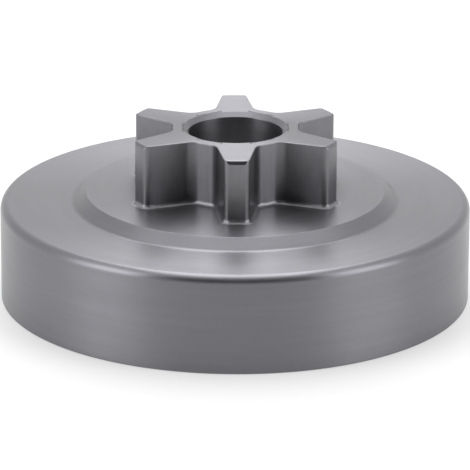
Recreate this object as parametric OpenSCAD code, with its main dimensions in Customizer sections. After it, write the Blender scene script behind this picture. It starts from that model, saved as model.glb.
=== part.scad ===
// Clutch drum of a chainsaw with its spur sprocket, turned and milled from one piece of steel.
// It stands on its open rim with the sprocket up. The origin is the centre of the rim's plane,
// +Z runs along the crankshaft, and one tooth points to the front, along -Y. Millimetres.

/* [Drum] */
// Outer diameter of the drum
drum_d = 65; // [58:0.5:90]
// Height of the drum from its open rim to its face
drum_h = 13.7; // [10:0.1:30]
// Thickness of the drum's wall
wall_t = 2.5; // [1.5:0.1:4]
// Thickness of the web that closes the drum
web_t = 2.5; // [1.5:0.1:4]
// Radius of the round edge between the wall and the face
edge_r = 1.1; // [0.4:0.1:2]
// Radius of the round corner between the friction track and the web's underside
track_corner_r = 1; // [0.4:0.1:2]
// Edge break round the outside of the rim
rim_break = 0.15; // [0.1:0.05:0.5]
// Lead-in chamfer round the inside of the rim
rim_lead = 0.5; // [0.2:0.1:0.8]

/* [Boss] */
// Diameter of the boss's flat top
boss_d = 41.5; // [36:0.5:46]
// Height of the boss above the drum's face
boss_h = 1.5; // [0.8:0.1:4]
// Slope of the boss's flank, in degrees above the drum's face
boss_slope = 40; // [30:1:60]
// Radius of the blend between the boss's flank and the drum's face
boss_blend_r = 0.9; // [0.3:0.1:1.5]

/* [Sprocket] */
// Number of teeth
teeth = 6; // [5:1:8]
// Diameter over the tips of the teeth
tip_d = 30.6; // [28:0.2:34]
// Diameter of the circle that the bottoms of the tooth gaps lie on
root_d = 17.4; // [16.6:0.1:19]
// Height of the teeth above the boss
tooth_h = 8.9; // [5:0.1:16]
// Width of a tooth where its flanks meet the tip circle
tip_w = 3.3; // [2.4:0.1:4.2]
// Angle between a flank and the middle line of its tooth, in degrees
flank_angle = 9; // [4:0.5:14]
// Radius of the round corners at a tooth's tip
tip_corner_r = 0.9; // [0.3:0.05:1.1]
// Radius of the fillets in the bottom of a tooth gap
gap_fillet_r = 2.1; // [1:0.1:3]
// Radius of the fillet round the foot of the teeth
foot_fillet_r = 0.55; // [0.2:0.05:0.8]
// Height of the turned chamfer on the tips of the teeth
tip_chamfer_h = 0.5; // [0.2:0.05:1]
// Depth of that chamfer, measured along the radius
tip_chamfer_w = 0.25; // [0.1:0.05:0.5]

/* [Bore] */
// Diameter of the bore, which is the outer race of the needle cage
bore_d = 13; // [10:0.1:13.5]
// Depth of the chamfer at the bore's upper mouth, measured along the radius
mouth_w = 0.7; // [0.3:0.05:1]
// Height of the chamfer at the bore's upper mouth
mouth_h = 0.6; // [0.3:0.05:1.5]
// Chamfer at the bore's lower mouth, inside the drum
lower_mouth = 0.4; // [0.2:0.05:1]

/* [Hidden] */
$fn = 144;

// A cutter runs past the faces it cuts by this much
run_past = 1;
// A fillet or a tooth is sunk into what carries it by this much
sink = 0.2;
// The foot fillet's arc crosses wall and boss at a small angle instead of only touching them
fillet_bite = 0.005;
// Round a corner or a gap the foot fillet is smaller by this much, so that its ends lie inside
// its neighbours, into which it turns on by run_on degrees
fillet_step = 0.02;
run_on = 2;

drum_r = drum_d / 2;
track_r = drum_r - wall_t;
web_z = drum_h - web_t;
boss_r = boss_d / 2;
boss_z = drum_h + boss_h;
boss_foot_r = boss_r + boss_h / tan(boss_slope);
bore_r = bore_d / 2;
top_z = boss_z + tooth_h;

// The outline of one tooth is worked out with its middle line along +X.
// A flank is the line whose distance from the shaft's axis is flank_dist,
// and its normal leans out of the tooth by flank_angle from square to the middle line.
tip_r = tip_d / 2;
root_r = root_d / 2;
half_pitch = 180 / teeth;
flank_normal = 90 - flank_angle;
flank_dist = tip_w / 2 * cos(flank_angle) + sqrt(tip_r ^ 2 - (tip_w / 2) ^ 2) * sin(flank_angle);

// In a narrow gap the two fillets are no larger than one round bottom that touches both flanks
gap_lean = sin(half_pitch + flank_angle);
round_bottom_r = (root_r * gap_lean - flank_dist) / (1 - gap_lean);
gap_r = min(gap_fillet_r, round_bottom_r);

// Where the corner circle and the gap's circle lie, and where each meets the flank
corner_angle = asin((flank_dist - tip_corner_r) / (tip_r - tip_corner_r)) - flank_angle;
corner_centre = polar(tip_r - tip_corner_r, corner_angle);
corner_on_flank = corner_centre + polar(tip_corner_r, flank_normal);
gap_angle = asin((flank_dist + gap_r) / (root_r + gap_r)) - flank_angle;
gap_centre = polar(root_r + gap_r, gap_angle);
gap_on_flank = gap_centre - polar(gap_r, flank_normal);
flank_len = norm(corner_on_flank - gap_on_flank);
root_arc = 2 * (half_pitch - gap_angle);

function polar(r, angle) = r * [cos(angle), sin(angle)];
function across(point) = [point.x, -point.y];

// What a circle of radius r leaves of a square corner at the origin, whose sides run along
// +X and +Y: the section of a fillet when it is added, and of a round edge when it is cut.
// The sides are thickened outwards by back.
module cove(r, back) {
    difference() {
        translate([-back, -back]) square(r + back);
        translate([r, r]) circle(r = r);
    }
}

// Everything below the line through [r, 0] that rises at 45 degrees away from the axis,
// or towards it with side = -1: the section of a chamfer of width w at the rim
module rim_chamfer(r, w, side) {
    polygon([
        [r - side * (w + run_past), -run_past],
        [r + side * run_past, -run_past],
        [r + side * run_past, w + run_past]
    ]);
}

// Half section of the boss, with a soft blend where its flank meets the drum's face
module boss_section() {
    blend_len = boss_blend_r * tan(boss_slope / 2);
    blend_centre = [boss_foot_r + blend_len, drum_h + boss_blend_r];
    flank_point = [boss_foot_r - blend_len * cos(boss_slope), drum_h + blend_len * sin(boss_slope)];
    polygon([
        [0, web_z + sink],
        [boss_foot_r, web_z + sink],
        [boss_foot_r, drum_h],
        [boss_r, boss_z],
        [0, boss_z]
    ]);
    difference() {
        polygon([
            [boss_r, drum_h - sink],
            [blend_centre.x, drum_h - sink],
            blend_centre,
            flank_point
        ]);
        translate(blend_centre) circle(r = boss_blend_r);
    }
}

// Half section of the open cup inside the wall, whose side is the friction track
module cup_section() {
    difference() {
        translate([0, -run_past]) square([track_r, web_z + run_past]);
        translate([track_r, web_z]) rotate(180) cove(track_corner_r, run_past);
    }
}

// The turned body: wall, web and boss
module turned_body() {
    rotate_extrude() difference() {
        union() {
            square([drum_r, drum_h]);
            boss_section();
        }
        cup_section();
        translate([drum_r, drum_h]) rotate(180) cove(edge_r, run_past);
        rim_chamfer(drum_r, rim_break, 1);
        rim_chamfer(track_r, rim_lead, -1);
    }
}

// Outline of one tooth down to the root circle, with half of the gap's round bottom each side
module tooth_outline() {
    difference() {
        polygon([
            [0, 0],
            across(polar(root_r, gap_angle)),
            across(gap_centre),
            across(gap_on_flank),
            across(corner_on_flank),
            across(corner_centre),
            corner_centre,
            corner_on_flank,
            gap_on_flank,
            gap_centre,
            polar(root_r, gap_angle)
        ]);
        for (centre = [gap_centre, across(gap_centre)])
            translate(centre) circle(r = gap_r);
    }
    for (centre = [corner_centre, across(corner_centre)])
        translate(centre) circle(r = tip_corner_r);
    intersection() {
        circle(r = tip_r);
        polygon([[0, 0], polar(2 * tip_r, -corner_angle), polar(2 * tip_r, corner_angle)]);
    }
}

// Copies its children to every tooth, the first of which points to the front
module at_each_tooth() {
    for (i = [0 : teeth - 1])
        rotate(i * 360 / teeth - 90) children();
}

// All the teeth and the ring that joins them, before the chamfer on their tips
module toothed_ring() {
    translate([0, 0, boss_z - sink]) linear_extrude(height = tooth_h + sink) {
        circle(r = root_r);
        at_each_tooth() tooth_outline();
    }
}

// The turned chamfer that takes the sharp edge off the upper end of every tip
module tip_chamfer() {
    rotate_extrude() polygon([
        [tip_r - tip_chamfer_w, top_z],
        [tip_r, top_z - tip_chamfer_h],
        [tip_r + run_past, top_z - tip_chamfer_h],
        [tip_r + run_past, top_z + run_past],
        [tip_r - tip_chamfer_w, top_z + run_past]
    ]);
}

// Section of the foot fillet, which stands on the boss with its upright side along +Y
module fillet_section(r) {
    translate([-fillet_bite, -fillet_bite]) cove(r, sink);
}

// Fillet of the foot round the outside of an arc of radius r, from one angle on for a sweep
module arc_fillet(r, from, sweep) {
    rotate(from) rotate_extrude(angle = sweep) translate([r, 0]) fillet_section(foot_fillet_r);
}

module tip_fillet() {
    arc_fillet(tip_r, -corner_angle, 2 * corner_angle);
}

module corner_fillet() {
    translate(corner_centre) rotate(corner_angle - run_on)
        rotate_extrude(angle = flank_normal - corner_angle + 2 * run_on)
            translate([tip_corner_r, 0]) fillet_section(foot_fillet_r - fillet_step);
}

module flank_fillet() {
    translate(gap_on_flank) rotate(flank_normal) rotate([90, 0, 0])
        linear_extrude(height = flank_len) fillet_section(foot_fillet_r);
}

module gap_fillet() {
    translate(gap_centre) rotate(gap_angle + 180 - run_on)
        rotate_extrude(angle = flank_normal - gap_angle + 2 * run_on)
            translate([gap_r, 0]) mirror([1, 0]) fillet_section(foot_fillet_r - fillet_step);
}

module root_fillet() {
    if (root_arc > 0.1) arc_fillet(root_r, gap_angle, root_arc);
}

// Copies its children to both sides of a tooth's middle line
module on_both_sides() {
    children();
    mirror([0, 1, 0]) children();
}

// The teeth with the fillet that runs without a break round their foot
module sprocket() {
    difference() {
        toothed_ring();
        tip_chamfer();
    }
    translate([0, 0, boss_z]) at_each_tooth() tip_fillet();
    translate([0, 0, boss_z]) at_each_tooth() on_both_sides() corner_fillet();
    translate([0, 0, boss_z]) at_each_tooth() on_both_sides() flank_fillet();
    translate([0, 0, boss_z]) at_each_tooth() on_both_sides() gap_fillet();
    translate([0, 0, boss_z]) at_each_tooth() root_fillet();
}

// The bore through sprocket and web, with a chamfer at each mouth
module bore() {
    upper_past = run_past * mouth_w / mouth_h;
    translate([0, 0, web_z - run_past]) cylinder(r = bore_r, h = top_z - web_z + 2 * run_past);
    translate([0, 0, top_z - mouth_h])
        cylinder(r1 = bore_r, r2 = bore_r + mouth_w + upper_past, h = mouth_h + run_past);
    translate([0, 0, web_z - run_past])
        cylinder(r1 = bore_r + lower_mouth + run_past, r2 = bore_r, h = lower_mouth + run_past);
}

// The whole part: one solid of steel
module sprocket_drum() {
    color([0.55, 0.55, 0.57]) difference() {
        union() {
            turned_body();
            sprocket();
        }
        bore();
    }
}

sprocket_drum();
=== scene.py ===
"""Clutch drum of a chainsaw with its spur sprocket: one piece of bare steel in a plain studio.

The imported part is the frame. The dressed piece is a single closed surface around the shaft's axis: rings
of points, each once round the axis, carried along the part's section from the bore's lower mouth over
the teeth, the boss and the face to the rim and back to the bore. All sizes are millimetres until the
mesh is written, and the row's frame is the CAD's: the rim stands on z = 0, and +Z is the shaft's axis.
"""

from __future__ import annotations

import logging
import math
from collections.abc import Mapping, Sequence
from dataclasses import dataclass, field
from enum import IntEnum
from functools import cached_property

import bpy
import numpy as np
from mathutils import Matrix, Vector

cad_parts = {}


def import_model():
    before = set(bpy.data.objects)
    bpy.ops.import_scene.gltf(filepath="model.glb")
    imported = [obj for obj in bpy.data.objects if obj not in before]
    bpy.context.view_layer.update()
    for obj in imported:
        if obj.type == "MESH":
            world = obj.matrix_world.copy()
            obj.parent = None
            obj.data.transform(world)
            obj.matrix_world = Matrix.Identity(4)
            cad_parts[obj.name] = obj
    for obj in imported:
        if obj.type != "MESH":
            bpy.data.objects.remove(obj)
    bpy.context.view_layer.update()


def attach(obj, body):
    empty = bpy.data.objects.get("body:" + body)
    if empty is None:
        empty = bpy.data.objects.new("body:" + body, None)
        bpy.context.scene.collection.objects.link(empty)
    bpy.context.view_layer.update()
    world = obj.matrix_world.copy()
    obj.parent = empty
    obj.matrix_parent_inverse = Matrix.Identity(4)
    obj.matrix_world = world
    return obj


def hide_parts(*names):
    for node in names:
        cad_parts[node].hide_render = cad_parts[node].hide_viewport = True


log = logging.getLogger("clutch_drum")

MM = 0.001
PICTURE_PX = 470
SENSOR_MM = 36.0


class Finish(IntEnum):
    """How a stretch of the surface was made, which is also its material's slot."""

    TURNED = 0
    CUT = 1
    FOOT = 2


# Node trees


class Signal:
    """A number in a node tree. Python's operators on it add the Math nodes that work it out."""

    def __init__(self, tree: ShaderTree, socket: bpy.types.NodeSocket) -> None:
        """Keeps the tree that new nodes go to and the socket that gives the number."""
        self.tree = tree
        self.socket = socket

    def math(self, operation: str, *values: Signal | float) -> Signal:
        """Adds one Math node whose first value is this number.

        Args:
            operation: The Math node's operation.
            values: The node's further values.

        Returns:
            The node's result.
        """
        return self.tree.math(operation, self, *values)

    def __add__(self, other: Signal | float) -> Signal:
        """self + other"""
        return self.math("ADD", other)

    def __radd__(self, other: float) -> Signal:
        """other + self"""
        return self.tree.math("ADD", other, self)

    def __sub__(self, other: Signal | float) -> Signal:
        """self - other"""
        return self.math("SUBTRACT", other)

    def __rsub__(self, other: float) -> Signal:
        """other - self"""
        return self.tree.math("SUBTRACT", other, self)

    def __mul__(self, other: Signal | float) -> Signal:
        """self * other"""
        return self.math("MULTIPLY", other)

    def __rmul__(self, other: float) -> Signal:
        """other * self"""
        return self.tree.math("MULTIPLY", other, self)

    def __truediv__(self, other: Signal | float) -> Signal:
        """self / other"""
        return self.math("DIVIDE", other)

    def __pow__(self, other: Signal | float) -> Signal:
        """self ** other"""
        return self.math("POWER", other)

    def over(self, low: float, high: float) -> Signal:
        """A soft step from 0 at low to 1 at high, or the other way where high is the lower one."""
        node = self.tree.node(
            "ShaderNodeMapRange",
            {"interpolation_type": "SMOOTHSTEP"},
            {"Value": self, "From Min": low, "From Max": high},
        )
        return Signal(self.tree, node.outputs["Result"])


class ShaderTree:
    """The node tree of a material or of the world, emptied and ready to be built."""

    def __init__(self, owner: bpy.types.Material | bpy.types.World) -> None:
        """Empties the owner's tree."""
        owner.use_nodes = True
        self.tree = owner.node_tree
        self.tree.nodes.clear()

    def node(
        self,
        kind: str,
        settings: Mapping[str, object] | None = None,
        inputs: Mapping[str | int, object] | None = None,
    ) -> bpy.types.Node:
        """Adds a node.

        Args:
            kind: The node's type.
            settings: The node's own settings, which are made first.
            inputs: What goes into its sockets: a Signal or a socket is linked, and a value is set.

        Returns:
            The new node.
        """
        node = self.tree.nodes.new(kind)
        for name, value in (settings or {}).items():
            setattr(node, name, value)
        for name, value in (inputs or {}).items():
            if isinstance(value, Signal):
                value = value.socket
            if isinstance(value, bpy.types.NodeSocket):
                self.tree.links.new(value, node.inputs[name])
            else:
                node.inputs[name].default_value = value
        return node

    def math(self, operation: str, *values: Signal | float) -> Signal:
        """Adds a Math node and returns its result."""
        node = self.node("ShaderNodeMath", {"operation": operation}, dict(enumerate(values)))
        return Signal(self, node.outputs["Value"])

    def attribute(self, name: str) -> Signal:
        """The number that the mesh keeps at each point under this name."""
        return Signal(self, self.node("ShaderNodeAttribute", {"attribute_name": name}).outputs["Fac"])

    def place(self) -> tuple[Signal, Signal, Signal]:
        """Object coordinates in millimetres."""
        coordinates = self.node("ShaderNodeTexCoord").outputs["Object"]
        parts = self.node("ShaderNodeSeparateXYZ", None, {"Vector": coordinates})
        x, y, z = (Signal(self, parts.outputs[axis]) * (1 / MM) for axis in "XYZ")
        return x, y, z

    def vector(self, x: Signal | float, y: Signal | float, z: Signal | float) -> bpy.types.NodeSocket:
        """A vector of three numbers."""
        return self.node("ShaderNodeCombineXYZ", None, {"X": x, "Y": y, "Z": z}).outputs["Vector"]

    def noise(self, vector: bpy.types.NodeSocket, scale: float, detail: float = 2.0) -> Signal:
        """Noise from 0 to 1 about 0.5, at this scale on the vector."""
        node = self.node(
            "ShaderNodeTexNoise", None, {"Vector": vector, "Scale": scale, "Detail": detail, "Roughness": 0.6}
        )
        return Signal(self, node.outputs["Fac"])

    def specks(self, vector: bpy.types.NodeSocket, scale: float, share: float, size: float) -> Signal:
        """Sparse round specks: 1 in the middle of some Voronoi cells and 0 elsewhere.

        Args:
            vector: Where the pattern is read.
            scale: Cells along a unit of the vector.
            share: The share of the cells that hold a speck.
            size: A speck's radius as a share of a cell.

        Returns:
            The specks' mask.
        """
        node = self.node("ShaderNodeTexVoronoi", None, {"Vector": vector, "Scale": scale})
        near = Signal(self, node.outputs["Distance"]).over(size, size * 0.4)
        pick = self.node("ShaderNodeSeparateColor", None, {"Color": node.outputs["Color"]})
        return near * Signal(self, pick.outputs["Red"]).over(share, share * 0.9)

    def tint(self, factor: Signal, low: Colour, high: Colour) -> bpy.types.NodeSocket:
        """The colour between low and high that the factor from 0 to 1 picks."""
        node = self.node(
            "ShaderNodeMix",
            {"data_type": "RGBA", "clamp_factor": True},
            {0: factor, 6: (*low, 1.0), 7: (*high, 1.0)},
        )
        return node.outputs[2]

    def bump(
        self, height: Signal, distance: float, strength: float = 1.0, below: bpy.types.NodeSocket | None = None
    ) -> bpy.types.NodeSocket:
        """A Bump node's normal, with the distance in millimetres, over another normal if one is given."""
        inputs = {"Height": height, "Distance": distance * MM, "Strength": strength}
        if below is not None:
            inputs["Normal"] = below
        return self.node("ShaderNodeBump", None, inputs).outputs["Normal"]


Colour = tuple[float, float, float]


# Finishes


@dataclass(frozen=True)
class TurnedSteel:
    """Bare steel from the lathe: fine rings round the shaft's axis that draw its reflections out.

    Attributes:
        colour: The steel's own colour.
        roughness: Roughness between the rings.
        anisotropy: How much the rings draw a reflection out across themselves.
        ring_pitch: Millimetres from one fine ring to the next.
        ring_depth: Depth of the fine rings in millimetres.
    """

    name: str = "turned_steel"
    colour: Colour = (0.212, 0.209, 0.226)
    roughness: float = 0.38
    anisotropy: float = 0.7
    ring_pitch: float = 0.11
    ring_depth: float = 0.004

    def build(self) -> bpy.types.Material:
        """Builds the material.

        The rings are noise on (turning, cos angle, sin angle), where turning is the distance along the
        part's section, so that a ring keeps its depth for a long way round and then fades.

        Returns:
            The material.
        """
        material = bpy.data.materials.new(self.name)
        tree = ShaderTree(material)
        turning = tree.attribute("turning")
        x, y, z = tree.place()
        radius = (x * x + y * y) ** 0.5
        side, front = x / radius, y / radius
        fine = tree.noise(tree.vector(turning / self.ring_pitch, side * 2.5, front * 2.5), 1.0, 1.0)
        broad = tree.noise(tree.vector(turning / (9 * self.ring_pitch), side * 1.2, front * 1.2), 1.0, 2.0)
        cloud = tree.noise(tree.vector(x, y, z), 0.12, 3.0)
        grain = tree.noise(tree.vector(x, y, z), 2.4, 2.0)
        pits = tree.specks(tree.vector(x, y, z), 0.45, 0.07, 0.07)
        shade = (fine - 0.5) * 0.35 + (broad - 0.5) * 0.5 + (cloud - 0.5) * 0.5 + (grain - 0.5) * 0.25 + 0.5
        colour = tree.tint(shade, scaled(self.colour, 0.86), scaled(self.colour, 1.14))
        dark = tree.node(
            "ShaderNodeMix",
            {"data_type": "RGBA", "clamp_factor": True},
            {0: pits * 0.75, 6: colour, 7: (0.03, 0.03, 0.033, 1.0)},
        ).outputs[2]
        relief = tree.bump(fine, self.ring_depth)
        relief = tree.bump(broad, self.ring_depth * 2, 1.0, relief)
        relief = tree.bump(grain, 0.004, 1.0, relief)
        relief = tree.bump(1 - pits, 0.05, 1.0, relief)
        shader = tree.node(
            "ShaderNodeBsdfPrincipled",
            None,
            {
                "Base Color": dark,
                "Metallic": 1.0,
                "Roughness": self.roughness + (cloud - 0.5) * 0.12 + (fine - 0.5) * 0.08,
                "Anisotropic": self.anisotropy,
                "Anisotropic Rotation": 0.25,
                "Normal": relief,
            },
        )
        tree.node("ShaderNodeOutputMaterial", None, {"Surface": shader.outputs["BSDF"]})
        return material


@dataclass(frozen=True)
class CutSteel:
    """Bare steel on the flanks and in the gaps of the teeth, with the cutter's marks along the axis.

    Attributes:
        colour: The steel's own colour.
        roughness: Roughness between the marks.
        mark_pitch: Millimetres from one mark to the next.
        mark_depth: Depth of the marks in millimetres.
    """

    name: str = "cut_steel"
    colour: Colour = (0.212, 0.209, 0.222)
    roughness: float = 0.32
    mark_pitch: float = 0.16
    mark_depth: float = 0.006

    def build(self) -> bpy.types.Material:
        """Builds the material, whose marks are noise that hardly changes along z.

        Returns:
            The material.
        """
        material = bpy.data.materials.new(self.name)
        tree = ShaderTree(material)
        x, y, z = tree.place()
        marks = tree.noise(
            tree.vector(x / self.mark_pitch, y / self.mark_pitch, z * (0.05 / self.mark_pitch)), 1.0, 2.0
        )
        cloud = tree.noise(tree.vector(x, y, z), 0.35, 3.0)
        shade = (marks - 0.5) * 0.6 + (cloud - 0.5) * 0.9 + 0.5
        colour = tree.tint(shade, scaled(self.colour, 0.8), scaled(self.colour, 1.2))
        relief = tree.bump(cloud, 0.01, 1.0, tree.bump(marks, self.mark_depth))
        shader = tree.node(
            "ShaderNodeBsdfPrincipled",
            None,
            {
                "Base Color": colour,
                "Metallic": 1.0,
                "Roughness": self.roughness + (cloud - 0.5) * 0.16,
                "Normal": relief,
            },
        )
        tree.node("ShaderNodeOutputMaterial", None, {"Surface": shader.outputs["BSDF"]})
        return material


@dataclass(frozen=True)
class FootSteel:
    """The narrow, slightly ragged fillet at the foot of the teeth.

    Attributes:
        colour: The steel's own colour.
        roughness: Mean roughness.
        lump: Size of the unevenness in millimetres.
    """

    name: str = "foot_steel"
    colour: Colour = (0.25, 0.246, 0.262)
    roughness: float = 0.42
    lump: float = 0.35

    def build(self) -> bpy.types.Material:
        """Builds the material.

        Returns:
            The material.
        """
        material = bpy.data.materials.new(self.name)
        tree = ShaderTree(material)
        x, y, z = tree.place()
        lumps = tree.noise(tree.vector(x, y, z), 1 / self.lump, 3.0)
        colour = tree.tint(lumps, scaled(self.colour, 0.75), scaled(self.colour, 1.2))
        shader = tree.node(
            "ShaderNodeBsdfPrincipled",
            None,
            {
                "Base Color": colour,
                "Metallic": 1.0,
                "Roughness": self.roughness + (lumps - 0.5) * 0.2,
                "Normal": tree.bump(lumps, 0.05),
            },
        )
        tree.node("ShaderNodeOutputMaterial", None, {"Surface": shader.outputs["BSDF"]})
        return material


def scaled(colour: Colour, factor: float) -> Colour:
    """The colour times a factor."""
    return tuple(channel * factor for channel in colour)


# Shapes


@dataclass
class Rings:
    """Rings of points round the shaft's axis, in the order in which the section meets them.

    Attributes:
        points: One array (n, 3) for each ring, in millimetres.
        turning: One array (n,) for each ring: the distance along the section, which on a flat face is
            the distance from the axis.
        finish: The finish of the band from each ring to the next.
    """

    points: list[np.ndarray] = field(default_factory=list)
    turning: list[np.ndarray] = field(default_factory=list)
    finish: list[Finish] = field(default_factory=list)

    def add(self, flat: np.ndarray, height: np.ndarray | float, turning: np.ndarray | float, finish: Finish) -> None:
        """Adds a ring.

        Args:
            flat: The ring's x and y, as an array (n, 2).
            height: Its height, one number or one a point.
            turning: Its distance along the section, one number or one a point.
            finish: The finish of the band that starts at it.
        """
        count = len(flat)
        self.points.append(np.column_stack([flat, np.broadcast_to(height, count)]))
        self.turning.append(np.broadcast_to(turning, count))
        self.finish.append(finish)

    def closed_mesh(self, name: str) -> bpy.types.Mesh:
        """Joins each ring to the next, and the last to the first, which closes the surface.

        Point j of ring i is vertex i * n + j, and a face takes points j and j + 1 of rings i and i + 1,
        with both counts starting again at their ends.

        Args:
            name: The mesh's name.

        Returns:
            The mesh in metres, with its faces pointing outwards.
        """
        points = np.stack(self.points)
        rings, count = points.shape[:2]
        index = np.arange(rings * count).reshape(rings, count)
        onward = np.roll(index, -1, axis=0)
        quads = np.stack([index, np.roll(index, -1, 1), np.roll(onward, -1, 1), onward], -1).reshape(-1, 4)
        flat = points.reshape(-1, 3)
        if enclosed_volume(flat, quads) < 0:
            quads = quads[:, ::-1]
        mesh = bpy.data.meshes.new(name)
        mesh.vertices.add(len(flat))
        mesh.vertices.foreach_set("co", (flat * MM).astype(np.float32).ravel())
        mesh.loops.add(quads.size)
        mesh.loops.foreach_set("vertex_index", quads.astype(np.int32).ravel())
        mesh.polygons.add(len(quads))
        mesh.polygons.foreach_set("loop_start", np.arange(0, quads.size, 4, dtype=np.int32))
        mesh.polygons.foreach_set("material_index", np.repeat(np.array(self.finish, np.int32), count))
        mesh.polygons.foreach_set("use_smooth", np.ones(len(quads), bool))
        mesh.update(calc_edges=True)
        turning = mesh.attributes.new("turning", "FLOAT", "POINT")
        turning.data.foreach_set("value", np.concatenate(self.turning).astype(np.float32))
        mesh.validate()
        return mesh


def enclosed_volume(points: np.ndarray, quads: np.ndarray) -> float:
    """The signed volume inside a closed mesh: the sum of a . (b x c) / 6 over its triangles."""
    a, b, c, d = (points[quads[:, k]] for k in range(4))
    return float((np.einsum("ij,ij->", a, np.cross(b, c)) + np.einsum("ij,ij->", a, np.cross(c, d))) / 6)


def unit(angle: np.ndarray | float) -> np.ndarray:
    """The unit vector (cos, sin) at an angle in radians, or one for each of an array of angles."""
    return np.stack([np.cos(angle), np.sin(angle)], -1)


def rounded_line(corners: Sequence[tuple[float, float, float]], steps: int = 8) -> np.ndarray:
    """Carries a line through corners and rounds each one.

    A round of radius c on a corner that turns by t starts c * tan(t / 2) before the corner. Its centre
    lies c to the side that the line turns to, and its points are centre - c * n(a), where n is the normal
    turned from 0 to t.

    Args:
        corners: (radius, height, rounding) of each corner. The first and the last stay as they are.
        steps: Faces on each round.

    Returns:
        The line's points as an array (n, 2).
    """
    place = np.array([c[:2] for c in corners], float)
    ahead = np.diff(place, axis=0)
    ahead /= np.linalg.norm(ahead, axis=1)[:, None]
    line = [place[:1]]
    for corner, rounding, before, after in zip(place[1:-1], (c[2] for c in corners[1:-1]), ahead, ahead[1:]):
        cross = before[0] * after[1] - before[1] * after[0]
        turn = math.atan2(cross, float(before @ after))
        normal = np.array([-before[1], before[0]]) * math.copysign(1.0, turn)
        start = corner - before * rounding * math.tan(abs(turn) / 2)
        heading = math.atan2(normal[1], normal[0]) + turn * np.linspace(0, 1, steps + 1)
        line.append(start + rounding * (normal - unit(heading)))
    return np.concatenate([*line, place[-1:]])


def with_supports(line: np.ndarray, near: float = 0.04, step: float = 2.5) -> np.ndarray:
    """Adds points on the long straight stretches of a line, so that shading stays flat beside a round.

    Args:
        line: The line's points.
        near: Distance of the added points from a stretch's two ends.
        step: Largest distance between the points in between.

    Returns:
        The line with the added points.
    """
    parts = []
    for start, end in zip(line[:-1], line[1:]):
        length = float(np.linalg.norm(end - start))
        along = np.zeros(1)
        if length > 6 * near:
            inner = np.linspace(near, length - near, max(2, math.ceil(length / step) + 1))
            along = np.concatenate([along, inner]) / length
        parts.append(start + along[:, None] * (end - start))
    return np.concatenate([*parts, line[-1:]])


def run_of(line: np.ndarray) -> np.ndarray:
    """The distance along a line at each of its points."""
    return np.concatenate([[0.0], np.cumsum(np.linalg.norm(np.diff(line, axis=0), axis=1))])


@dataclass(frozen=True)
class Teeth:
    """The outline of the six teeth.

    Attributes:
        count: Number of teeth.
        tip_radius: Radius over the tips.
        root_radius: Radius to the bottoms of the gaps.
        tip_width: Width of a tooth where its flanks meet the tip circle.
        flank_angle: Lean of a flank from its tooth's middle line, in radians.
        corner_radius: Radius of a tooth's tip corners.
        gap_radius: Radius of the fillets in the bottom of a gap.
    """

    count: int = 6
    tip_radius: float = 15.3
    root_radius: float = 8.7
    tip_width: float = 3.3
    flank_angle: float = math.radians(9)
    corner_radius: float = 0.9
    gap_radius: float = 2.1

    def half_tooth(self) -> tuple[np.ndarray, np.ndarray]:
        """Half of a tooth's outline with its middle line on +X, from the tip to the gap's middle.

        Every stretch is centre + reach * n, where n is the outward normal: reach is the radius on the
        tip, corner and root, minus the radius in the gap, and 0 on the flank, whose centre moves along it.

        Returns:
            The points and the outward normals, each as an array (n, 2).
        """
        half_width = self.tip_width / 2
        lean = math.pi / 2 - self.flank_angle
        flank = half_width * math.cos(self.flank_angle) + math.sqrt(
            self.tip_radius**2 - half_width**2
        ) * math.sin(self.flank_angle)
        corner = math.asin((flank - self.corner_radius) / (self.tip_radius - self.corner_radius)) - self.flank_angle
        gap = math.asin((flank + self.gap_radius) / (self.root_radius + self.gap_radius)) - self.flank_angle
        corner_centre = (self.tip_radius - self.corner_radius) * unit(corner)
        gap_centre = (self.root_radius + self.gap_radius) * unit(gap)
        upper = corner_centre + self.corner_radius * unit(lean)
        lower = gap_centre - self.gap_radius * unit(lean)
        axis = np.zeros(2)
        stretches = (
            (axis, axis, self.tip_radius, 0.0, corner, 4),
            (corner_centre, corner_centre, self.corner_radius, corner, lean, 12),
            (upper, lower, 0.0, lean, lean, 14),
            (gap_centre, gap_centre, -self.gap_radius, lean, gap, 12),
            (axis, axis, self.root_radius, gap, math.pi / self.count, 3),
        )
        points, normals = [], []
        for start, end, reach, first, last, steps in stretches:
            share = np.linspace(0, 1, steps, endpoint=False)[:, None]
            normal = unit(first + (last - first) * share[:, 0])
            points.append(start + (end - start) * share + reach * normal)
            normals.append(normal)
        middle = unit(math.pi / self.count)[None]
        return np.concatenate([*points, self.root_radius * middle]), np.concatenate([*normals, middle])

    @cached_property
    def outline(self) -> tuple[np.ndarray, np.ndarray]:
        """Points and outward normals once round the axis, from the gap before the front tooth.

        Returns:
            Two arrays (n, 2).
        """
        mirror = np.array([1.0, -1.0])
        tooth = [np.concatenate([(half * mirror)[:0:-1], half[:-1]]) for half in self.half_tooth()]
        turns = np.arange(self.count) * 2 * math.pi / self.count - math.pi / 2
        along, across = unit(turns), unit(turns + math.pi / 2)
        points, normals = (
            (along[:, None] * part[:, :1] + across[:, None] * part[:, 1:]).reshape(-1, 2) for part in tooth
        )
        return points, normals

    @cached_property
    def round_angles(self) -> np.ndarray:
        """Evenly spaced angles, as many as the outline has points, from the same gap's middle."""
        count = len(self.outline[0])
        return -math.pi / 2 - math.pi / self.count + 2 * math.pi * np.arange(count) / count


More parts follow.
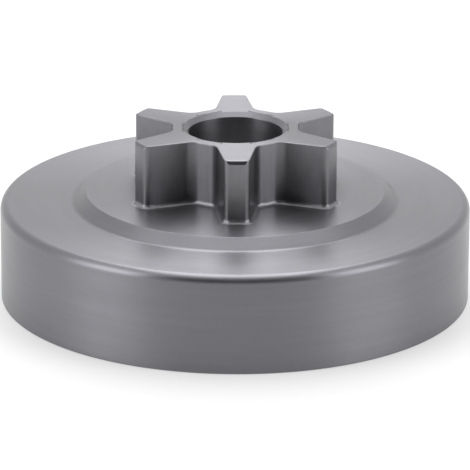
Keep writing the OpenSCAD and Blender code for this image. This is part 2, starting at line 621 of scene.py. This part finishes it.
@dataclass(frozen=True)
class Sprocket:
    """The toothed ring on the boss, from the bore's mouth to the foot fillet.

    Attributes:
        teeth: The teeth's outline.
        foot: Height of the boss that it stands on.
        top: Height of its upper end.
        mouth_radius: Radius of the bore's chamfer in its upper end.
        edge_break: Size of the tiny round along its upper edge.
        tip_chamfer_height: Height of the turned chamfer on the tips.
        tip_chamfer_depth: Depth of that chamfer along the radius.
        fillet_radius: Mean radius of the fillet round the foot.
        fillet_unevenness: How much that radius wanders, as a share of it.
    """

    teeth: Teeth
    foot: float = 15.2
    top: float = 24.1
    mouth_radius: float = 7.2
    edge_break: float = 0.12
    tip_chamfer_height: float = 0.5
    tip_chamfer_depth: float = 0.25
    fillet_radius: float = 0.55
    fillet_unevenness: float = 0.16

    def outline_at(self, height: float) -> np.ndarray:
        """The outline at a height, drawn in to the chamfer's cone on the tips."""
        points = self.teeth.outline[0]
        rise = max(0.0, height - (self.top - self.tip_chamfer_height))
        limit = self.teeth.tip_radius - self.tip_chamfer_depth * rise / self.tip_chamfer_height
        return points * np.minimum(1.0, limit / np.linalg.norm(points, axis=1))[:, None]

    def add_to(self, rings: Rings) -> None:
        """Adds the upper face, the edge, the sides and the foot fillet.

        The upper face runs in straight lines from the mouth's circle to the outline. The edge and the
        foot are quarter rounds, offset from the outline along its normals.

        Args:
            rings: The rings to add to.
        """
        normals = self.teeth.outline[1]
        mouth = self.mouth_radius * unit(self.teeth.round_angles)
        inner = self.outline_at(self.top) - self.edge_break * normals
        for share in (0.02, 0.15, 0.35, 0.55, 0.75, 0.9, 0.98):
            flat = mouth + share * (inner - mouth)
            rings.add(flat, self.top, np.linalg.norm(flat, axis=1), Finish.TURNED)
        for turn in np.linspace(0, math.pi / 2, 4):
            height = self.top - self.edge_break * (1 - math.cos(turn))
            flat = self.outline_at(height) - self.edge_break * (1 - math.sin(turn)) * normals
            rings.add(flat, height, np.linalg.norm(flat, axis=1), Finish.CUT)
        cone_foot = self.top - self.tip_chamfer_height
        low = self.foot + self.fillet_radius * (1 + 2 * self.fillet_unevenness)
        heights = np.concatenate(
            [
                np.linspace(self.top - self.edge_break - 0.03, cone_foot + 0.03, 3),
                [cone_foot, cone_foot - 0.03],
                np.linspace(cone_foot - 1, low, 7),
            ]
        )
        for height in heights:
            flat = self.outline_at(height)
            rings.add(flat, height, np.linalg.norm(flat, axis=1), Finish.CUT)
        size = self.fillet_radius * (1 + self.fillet_unevenness * self.wander())
        for turn in np.linspace(0, math.pi / 2, 8)[:-1]:
            flat = self.outline_at(self.foot) + (size * (1 - math.cos(turn)))[:, None] * normals
            rings.add(flat, self.foot + size * (1 - math.sin(turn)), np.linalg.norm(flat, axis=1), Finish.FOOT)
        flat = self.outline_at(self.foot) + size[:, None] * normals
        rings.add(flat, self.foot, np.linalg.norm(flat, axis=1), Finish.TURNED)

    def wander(self) -> np.ndarray:
        """A gentle wave once round the outline, from about -1 to 1: three sines that don't share a period."""
        turn = 2 * math.pi * np.arange(len(self.teeth.outline[0])) / len(self.teeth.outline[0])
        return (np.sin(23 * turn + 0.4) + np.sin(37 * turn + 2.1) + np.sin(61 * turn + 4.4)) / 2.2


@dataclass(frozen=True)
class Bore:
    """The bore through sprocket and web.

    Attributes:
        radius: Radius of the bore.
        low: Height of the chamfer's end at its lower mouth.
        top: Height of the sprocket's upper end.
        mouth_depth: Depth of the upper chamfer along the radius.
        mouth_height: Height of the upper chamfer.
    """

    radius: float = 6.5
    low: float = 11.6
    top: float = 24.1
    mouth_depth: float = 0.7
    mouth_height: float = 0.6

    def add_to(self, rings: Rings, angles: np.ndarray) -> None:
        """Adds the wall, from the bottom up, and the chamfer at the mouth."""
        mouth = self.radius + self.mouth_depth
        line = with_supports(
            rounded_line(
                [
                    (self.radius, self.low, 0.0),
                    (self.radius, self.top - self.mouth_height, 0.08),
                    (mouth, self.top, 0.06),
                    (mouth + 0.1, self.top, 0.0),
                ],
                3,
            ),
            step=1.6,
        )
        run = run_of(line)
        for (radius, height), along in zip(line, mouth - run[-1] + run):
            rings.add(radius * unit(angles), height, along, Finish.TURNED)


@dataclass(frozen=True)
class Drum:
    """The turned drum with its boss.

    Attributes:
        radius: Radius over the wall.
        face: Height of the face.
        wall: Thickness of the wall.
        web: Thickness of the web.
        edge: Radius of the round edge between wall and face.
        track_corner: Radius in the corner between the friction track and the web.
        rim_break: Edge break outside the rim.
        rim_lead: Lead-in chamfer inside the rim.
        boss_radius: Radius of the boss's flat top.
        boss_top: Height of the boss's top.
        boss_slope: Slope of the boss's flank, in radians.
        boss_edge: Radius of the boss's sharp upper edge.
        blend: Radius between the flank and the face.
        bore: Radius of the bore's chamfer under the web.
    """

    radius: float = 32.5
    face: float = 13.7
    wall: float = 2.5
    web: float = 2.5
    edge: float = 1.1
    track_corner: float = 1.0
    rim_break: float = 0.15
    rim_lead: float = 0.5
    boss_radius: float = 20.75
    boss_top: float = 15.2
    boss_slope: float = math.radians(40)
    boss_edge: float = 0.12
    blend: float = 0.9
    bore: float = 6.9

    def section(self) -> np.ndarray:
        """The section's line from the boss's upper edge over face, wall, rim and track to the bore."""
        track = self.radius - self.wall
        under = self.face - self.web
        boss_foot = self.boss_radius + (self.boss_top - self.face) / math.tan(self.boss_slope)
        start = self.boss_radius - 0.4
        corners = [
            (start, self.boss_top, 0.0),
            (self.boss_radius, self.boss_top, self.boss_edge),
            (boss_foot, self.face, self.blend),
            (self.radius, self.face, self.edge),
            (self.radius, 0.0, self.rim_break * 1.4),
            (track + self.rim_lead, 0.0, 0.08),
            (track, self.rim_lead, 0.12),
            (track, under, self.track_corner),
            (self.bore, under, 0.0),
        ]
        return with_supports(rounded_line(corners, 10))

    def add_to(self, rings: Rings, teeth: Teeth) -> None:
        """Adds the boss's flat top, in straight lines from the last ring, and then the turned section.

        Args:
            rings: The rings to add to, whose last one lies round the teeth's foot.
            teeth: The teeth, which give the angles of the rings' points.
        """
        line = self.section()
        around = unit(teeth.round_angles)
        foot, edge = rings.points[-1][:, :2], line[0, 0] * around
        for share in (0.01, 0.08, 0.2, 0.36, 0.54, 0.72, 0.88):
            flat = foot + share * (edge - foot)
            rings.add(flat, self.boss_top, np.linalg.norm(flat, axis=1), Finish.TURNED)
        for (radius, height), along in zip(line, line[0, 0] + run_of(line)):
            rings.add(radius * around, height, along, Finish.TURNED)


@dataclass(frozen=True)
class ClutchDrum:
    """The whole part: one closed surface with three finishes."""

    drum: Drum = Drum()
    sprocket: Sprocket = Sprocket(Teeth())
    bore: Bore = Bore()
    finishes: tuple[TurnedSteel, CutSteel, FootSteel] = (TurnedSteel(), CutSteel(), FootSteel())

    def build(self) -> bpy.types.Object:
        """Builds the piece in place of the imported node.

        Returns:
            The piece.
        """
        rings = Rings()
        self.bore.add_to(rings, self.sprocket.teeth.round_angles)
        self.sprocket.add_to(rings)
        self.drum.add_to(rings, self.sprocket.teeth)
        mesh = rings.closed_mesh("clutch_drum")
        for finish in self.finishes:
            mesh.materials.append(finish.build())
        piece = bpy.data.objects.new("clutch_drum", mesh)
        bpy.context.scene.collection.objects.link(piece)
        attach(piece, "root")
        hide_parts("sprocket_drum")
        log.info("clutch_drum: %d rings, %d faces", len(rings.points), len(mesh.polygons))
        return piece


# Studio


@dataclass(frozen=True)
class Camera:
    """The camera of the photograph, which looks at a point on the shaft's axis.

    Attributes:
        azimuth: Degrees round the axis from the front.
        elevation: Degrees above the floor.
        distance: Millimetres from the aim.
        aim: What the middle of the picture shows, in millimetres.
        focal_px: Focal length in pixels of the picture.
        roll: Degrees that the picture is turned.
    """

    azimuth: float = -0.837
    elevation: float = 19.003
    distance: float = 594.17
    aim: tuple[float, float, float] = (0.0, 0.0, 8.373)
    focal_px: float = 4274.97
    roll: float = -0.256

    def build(self) -> bpy.types.Object:
        """Adds the camera and makes it the scene's.

        Returns:
            The camera.
        """
        azimuth, elevation, roll = (math.radians(a) for a in (self.azimuth, self.elevation, self.roll))
        back = Vector(
            (
                math.sin(azimuth) * math.cos(elevation),
                -math.cos(azimuth) * math.cos(elevation),
                math.sin(elevation),
            )
        )
        right = Vector((math.cos(azimuth), math.sin(azimuth), 0.0))
        up = back.cross(right)
        turned_right = right * math.cos(roll) - up * math.sin(roll)
        turned_up = right * math.sin(roll) + up * math.cos(roll)
        data = bpy.data.cameras.new("camera")
        data.sensor_width = SENSOR_MM
        data.sensor_fit = "HORIZONTAL"
        data.lens = self.focal_px / PICTURE_PX * SENSOR_MM
        data.clip_start, data.clip_end = 0.01, 50.0
        camera = bpy.data.objects.new("camera", data)
        turn = Matrix((turned_right, turned_up, back)).transposed().to_4x4()
        place = (Vector(self.aim) + back * self.distance) * MM
        camera.matrix_world = Matrix.Translation(place) @ turn
        bpy.context.scene.collection.objects.link(camera)
        bpy.context.scene.camera = camera
        return camera


@dataclass(frozen=True)
class Lamp:
    """A soft rectangular lamp that looks at the part.

    Attributes:
        name: The lamp's name.
        place: Where it hangs, in metres.
        width: Its width in metres.
        depth: Its other side in metres.
        radiance: How bright its face is, where 1 is white.
    """

    name: str
    place: tuple[float, float, float]
    width: float
    depth: float
    radiance: float
    aim: tuple[float, float, float] = (0.0, 0.0, 0.012)

    def build(self) -> bpy.types.Object:
        """Adds the lamp.

        Returns:
            The lamp.
        """
        data = bpy.data.lights.new(self.name, "AREA")
        data.shape = "RECTANGLE"
        data.size, data.size_y = self.width, self.depth
        data.energy = self.radiance * math.pi * self.width * self.depth
        lamp = bpy.data.objects.new(self.name, data)
        away = Vector(self.place) - Vector(self.aim)
        lamp.matrix_world = Matrix.Translation(self.place) @ away.to_track_quat("Z", "Y").to_matrix().to_4x4()
        bpy.context.scene.collection.objects.link(lamp)
        return lamp


@dataclass(frozen=True)
class Studio:
    """A pale floor in a white room, soft lamps, and a dark card in front that the steel mirrors.

    Attributes:
        floor_colour: Colour of the floor.
        floor_glow: What the floor shows above its own shading, so that it reads as white.
        room: Brightness of the white room.
        card_radius: Radius of the dark card round the part, in metres.
        card_angle: Half of the angle that the card takes up, in radians.
        card_low: Height of the card's lower edge in metres.
        card_high: Height of its upper edge in metres.
        card_colour: The card's colour.
        lamps: The lamps.
    """

    floor_colour: Colour = (0.5, 0.5, 0.5)
    floor_glow: float = 0.42
    room: float = 0.88
    card_radius: float = 0.75
    card_angle: float = math.radians(42)
    card_low: float = 0.0
    card_high: float = 1.3
    card_colour: Colour = (0.045, 0.045, 0.05)
    lamps: tuple[Lamp, ...] = (
        Lamp("top_lamp", (0.0, 0.43, 0.5), 0.29, 0.92, 3.2, (0.0, 0.43, 0.0)),
        Lamp("left_lamp", (-0.55, -0.26, 0.32), 0.36, 0.6, 2.6, (0.0, 0.0, 0.32)),
        Lamp("right_lamp", (0.55, -0.26, 0.32), 0.36, 0.6, 2.2, (0.0, 0.0, 0.32)),
    )

    def shown(self, tree: ShaderTree) -> Signal:
        """1 for what the camera sees, itself or through a reflection or glass, and 0 for other light."""
        path = tree.node("ShaderNodeLightPath")
        camera, glossy, through = (
            Signal(tree, path.outputs[name]) for name in ("Is Camera Ray", "Is Glossy Ray", "Is Transmission Ray")
        )
        return camera.math("MAXIMUM", glossy).math("MAXIMUM", through)

    def floor(self) -> None:
        """Adds the floor, a grid whose material shades as a pale floor and glows only where it is shown."""
        material = bpy.data.materials.new("floor")
        tree = ShaderTree(material)
        diffuse = tree.node("ShaderNodeBsdfDiffuse", None, {"Color": (*self.floor_colour, 1.0)})
        glow = tree.node("ShaderNodeEmission", None, {"Strength": self.shown(tree) * self.floor_glow})
        both = tree.node("ShaderNodeAddShader", None, {0: diffuse.outputs[0], 1: glow.outputs[0]})
        tree.node("ShaderNodeOutputMaterial", None, {"Surface": both.outputs[0]})
        reach = 12.0
        mesh = bpy.data.meshes.new("floor")
        corners = np.array([(-1, -1), (1, -1), (1, 1), (-1, 1)], float) * reach
        mesh.from_pydata(np.column_stack([corners, np.full(4, -0.02 * MM)]).tolist(), [], [(0, 1, 2, 3)])
        mesh.materials.append(material)
        floor = bpy.data.objects.new("floor", mesh)
        bpy.context.scene.collection.objects.link(floor)

    def card(self) -> None:
        """Adds the dark card: an upright strip of a cylinder in front, which the camera looks through."""
        angles = np.linspace(-self.card_angle, self.card_angle, 25) - math.pi / 2
        flat = self.card_radius * unit(angles)
        points = np.concatenate([np.column_stack([flat, np.full(25, h)]) for h in (self.card_low, self.card_high)])
        first = np.arange(24)
        mesh = bpy.data.meshes.new("card")
        mesh.from_pydata(points.tolist(), [], np.column_stack([first, first + 1, first + 26, first + 25]).tolist())
        material = bpy.data.materials.new("card")
        tree = ShaderTree(material)
        matt = tree.node("ShaderNodeBsdfDiffuse", None, {"Color": (*self.card_colour, 1.0)})
        tree.node("ShaderNodeOutputMaterial", None, {"Surface": matt.outputs[0]})
        mesh.materials.append(material)
        card = bpy.data.objects.new("card", mesh)
        card.visible_camera = False
        bpy.context.scene.collection.objects.link(card)

    def world(self) -> None:
        """Gives the world one even white, which the room shows and lights with."""
        world = bpy.data.worlds.new("room")
        bpy.context.scene.world = world
        tree = ShaderTree(world)
        light = tree.node("ShaderNodeBackground", None, {"Color": (1.0, 1.0, 1.0, 1.0), "Strength": self.room})
        tree.node("ShaderNodeOutputWorld", None, {"Surface": light.outputs[0]})

    def build(self) -> None:
        """Sets up the room, the lamps and the camera."""
        bpy.context.scene.view_settings.view_transform = "Standard"
        self.world()
        self.floor()
        self.card()
        for lamp in self.lamps:
            lamp.build()
        Camera().build()


def main() -> None:
    """Loads the frame, builds the studio and the part."""
    logging.basicConfig(level=logging.INFO, format="%(name)s: %(message)s")
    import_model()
    Studio().build()
    ClutchDrum().build()
    bpy.context.view_layer.update()


if __name__ == "__main__":
    main()
